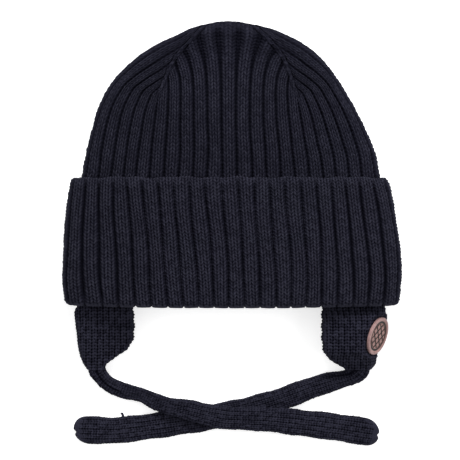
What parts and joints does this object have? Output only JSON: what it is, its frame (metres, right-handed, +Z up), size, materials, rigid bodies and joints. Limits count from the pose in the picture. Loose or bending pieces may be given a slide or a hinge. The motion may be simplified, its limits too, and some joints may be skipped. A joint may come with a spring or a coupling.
{
  "type": "ribbed beanie",
  "caption": "Ribbed knitted beanie lying on its back, with a turned-up cuff, ear flaps, long knitted ties and a round leather patch on one flap.",
  "frame": {"origin": "on the surface that the hat lies on, under the middle of the cuff's back", "axes": "+Z up, away from the surface; +Y towards the crown's closed top; +X towards the flap with the patch"},
  "size_m": [0.1989, 0.2505, 0.03],
  "materials": {
    "rib_knit": "dark navy 2x2 rib, knitted wool or acrylic yarn, slightly fuzzy",
    "plain_knit": "dark navy plain knit of the same yarn",
    "patch_leather": "pinkish brown leather, debossed"
  },
  "bodies": {
    "root": {"crown": "rib_knit", "cuff": "rib_knit", "left_flap": "plain_knit", "right_flap": "plain_knit", "left_tie": "plain_knit", "right_tie": "plain_knit", "flap_patch": "patch_leather"}
  },
  "joints": []
}
